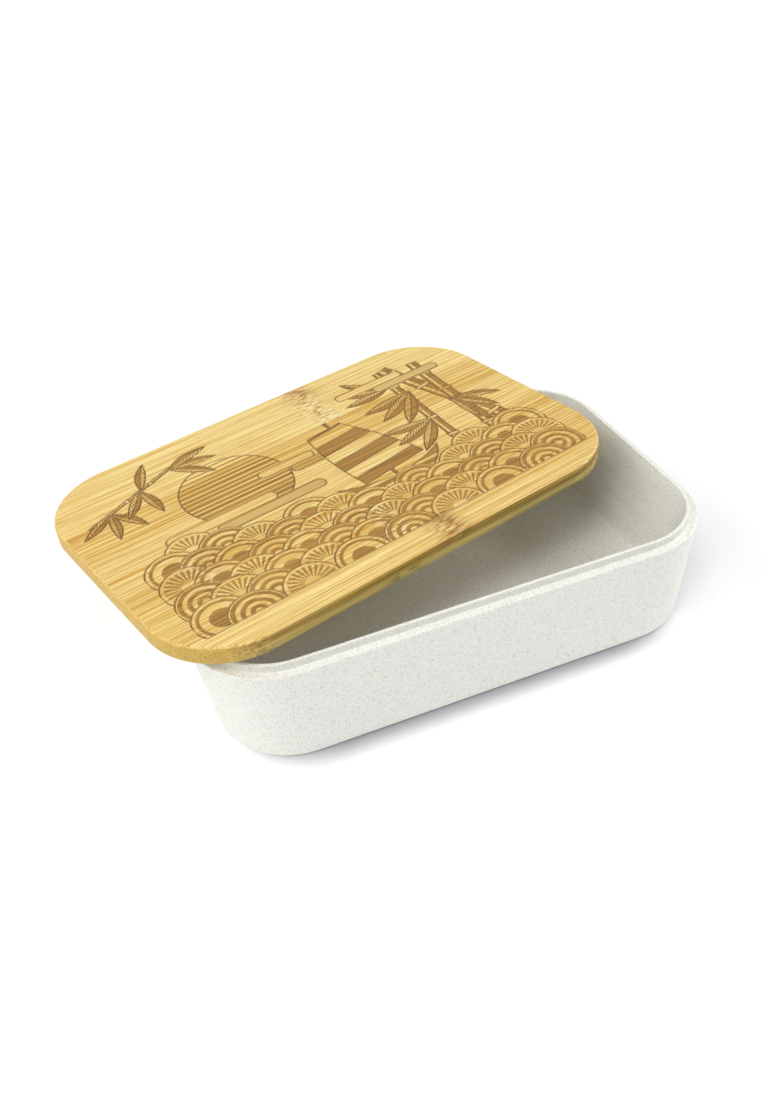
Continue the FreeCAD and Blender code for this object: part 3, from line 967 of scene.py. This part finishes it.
# pale and golden grain, then pale and olive side, of each ply
BAMBOO = {
    "bamboo_top": [(252, 229, 155), (204, 153, 50), (190, 156, 68), (100, 76, 20)],
    "bamboo_lower": [(246, 224, 156), (194, 148, 62), (216, 192, 110), (122, 103, 44)],
    "bamboo_tongue": [(230, 212, 168), (198, 166, 116), (208, 172, 100), (172, 136, 70)],
}
for slot, colours in BAMBOO.items():
    dress(strips[slot], bamboo_finish(slot + "_ply", *(rgb(*colour) for colour in colours)))

# %% [markdown]
# ## Floor
# The box stands on a white sweep. A plane would do, but a disc of rings that widen outwards keeps its
# faces small near the box.
# %% Floor
FLOOR_RADIUS, FIRST_RING, RING_COUNT, RING_STEPS = 3000.0, 150.0, 9, 96


def make_floor():
    """Rings about the origin whose radius grows evenly in ratio, closed by a small polygon."""
    radius = np.concatenate([[1.0], np.geomspace(FIRST_RING, FLOOR_RADIUS, RING_COUNT)])[:, None]
    angle = np.linspace(0, 2 * np.pi, RING_STEPS, endpoint=False)
    level = np.zeros((len(radius), RING_STEPS))
    rings = np.stack([radius * np.cos(angle), radius * np.sin(angle), level], axis=-1)
    faces = grid_faces(*level.shape, wrap_columns=True)[:, ::-1].tolist() + [list(range(RING_STEPS))]
    floor = add_object("studio_floor", new_mesh("studio_floor", rings.reshape(-1, 3), faces))
    return floor


floor = make_floor()
print("floor rings to", FLOOR_RADIUS, "mm")

# %% [markdown]
# ## Paint that fades to white
# The floor is pale, matt paint that throws light back up at the walls. To the camera it also glows, a
# little near the box, more on its left and fully further out, so that the picture fades to white.
# Ambient Occlusion deepens the shadow for the eye: a dark crease under the long sides' foot, where light
# hardly gets in, and a soft grey on the box's right.
# %% Floor finish
# distances in metres, as Object coordinates are
CREASE_REACH, CREASE_END, CREASE_FADE = 0.014, 0.095, 0.045
CREASE_SKY = (0.46, 0.88)
LEE_REACH, LEE_START, LEE_DEPTH = 0.035, 0.06, 0.5
LEE_SKY = (0.2, 1.0)
NEAR_GLOW, FADE_TO_WHITE = 0.17, (0.12, 0.5)
LEFT_GLOW, LEFT_FADE = 0.08, (0.07, 0.17)
PAINT, SHADED_PAINT = (0.87, 0.875, 0.89, 1.0), (0.42, 0.42, 0.45, 1.0)


def seen_directly(start):
    """1 for rays from the camera, a mirror or glass, and 0 for the rays that carry light."""
    camera, glossy, glass = (start.node("LightPath", {}, {}, output=f"Is {kind} Ray")
                             for kind in ("Camera", "Glossy", "Transmission"))
    return camera.larger(glossy).larger(glass)


def open_sky(start, reach):
    """The share of open sky over a point, as far as a reach: 1 in the open and 0 in a crease."""
    return start.node("AmbientOcclusion", {"samples": 8}, {"Distance": reach}, output="AO")


def floor_finish():
    """Pale paint, darker in the shade, with a glow for the eye that grows with the distance."""
    material, surface, start = start_material("white_sweep")
    place = start.node("TexCoord", {}, {}, output="Object")
    distance = start.node("VectorMath", {"operation": "LENGTH"}, {0: place}, output="Value")
    along = start.node("SeparateXYZ", {}, {0: place})
    seen = seen_directly(start)
    under_side = (CREASE_END - along.math("ABSOLUTE", along)).step(0.0, CREASE_FADE)
    crease = (1 - open_sky(start, CREASE_REACH).step(*CREASE_SKY)) * under_side
    lee = (1 - open_sky(start, LEE_REACH).step(*LEE_SKY)) * along.step(LEE_START, CREASE_END)
    shade = seen * crease.larger(lee * LEE_DEPTH)
    left = (along * -1.0).step(*LEFT_FADE)
    glow = (seen - shade) * (NEAR_GLOW + distance.step(*FADE_TO_WHITE) + left * LEFT_GLOW)
    start.feed(surface, {"Base Color": shade.mix(PAINT, SHADED_PAINT), "Roughness": 0.9,
                         "Specular IOR Level": 0.0, "Emission Color": glow, "Emission Strength": 1.0})
    return material


dress([floor], floor_finish())

# %% [markdown]
# ## Light
# A product photograph like this has softboxes all round it in a pale room. Area lamps make them, since
# their size sets how soft a shadow is. Two on the right graze the front wall, three on the left light
# the left end and the inside, and a weak one hangs above. None stands right in front, so the front wall
# comes out a little greyer than what faces up.
# %% World and softboxes
ROOM_LIGHT = 0.14
# place in metres, size in metres and power in watts
SOFTBOXES = {
    "right": ((1.43, 0.23, 0.83), 0.9, 10.2),
    "right_low": ((1.43, -0.53, 0.53), 0.75, 9.4),
    "left": ((-1.28, -0.53, 0.98), 1.05, 10.4),
    "left_front": ((-0.63, -0.75, 1.35), 0.5, 7.5),
    "left_behind": ((-1.05, 0.9, 0.9), 0.9, 6.6),
    "overhead": ((-0.68, 0.0, 1.43), 0.9, 2.0),
}

world = bpy.data.worlds.new("studio")
bpy.context.scene.world = world
world.use_nodes = True
sky = Wire(world.node_tree)
room = seen_directly(sky) * (1.0 - ROOM_LIGHT) + ROOM_LIGHT
sky.feed(world.node_tree.nodes["Background"], {"Color": (1, 1, 1, 1), "Strength": room})

# each faces the middle of the box
for name, (place, size, power) in SOFTBOXES.items():
    lamp = bpy.data.lights.new(name, "AREA")
    lamp.shape, lamp.size, lamp.energy = "SQUARE", size, power
    light = add_object(name, lamp)
    light.location = place
    aim = Vector((0, 0, TRAY_HEIGHT * MM / 2)) - light.location
    light.rotation_euler = aim.to_track_quat("-Z", "Y").to_euler()
print("softboxes:", list(SOFTBOXES))

# %% [markdown]
# ## Camera
# The camera repeats the view that was solved from the photograph's own edges: where it looks, from
# which side, height and distance, its tilt about its own axis, and its lens.
# %% Camera
LOOK_AT = Vector((-16.64, -6.86, 34.48)) * MM
AZIMUTH, ELEVATION, ROLL = (math.radians(angle) for angle in (-18.47, 37.55, -5.60))
DISTANCE = 401.65 * MM
LENS, SENSOR = 35.92, 36.0

turned = (Matrix.Rotation(AZIMUTH, 4, "Z") @ Matrix.Rotation(math.pi / 2 - ELEVATION, 4, "X")
          @ Matrix.Rotation(ROLL, 4, "Z"))
lens = bpy.data.cameras.new("camera")
lens.lens, lens.sensor_width = LENS, SENSOR
camera = add_object("camera", lens)
camera.matrix_world = Matrix.Translation(LOOK_AT) @ turned @ Matrix.Translation((0, 0, DISTANCE))
bpy.context.scene.camera = camera
bpy.context.scene.view_settings.view_transform = "Standard"
print("camera at", camera.matrix_world.translation)
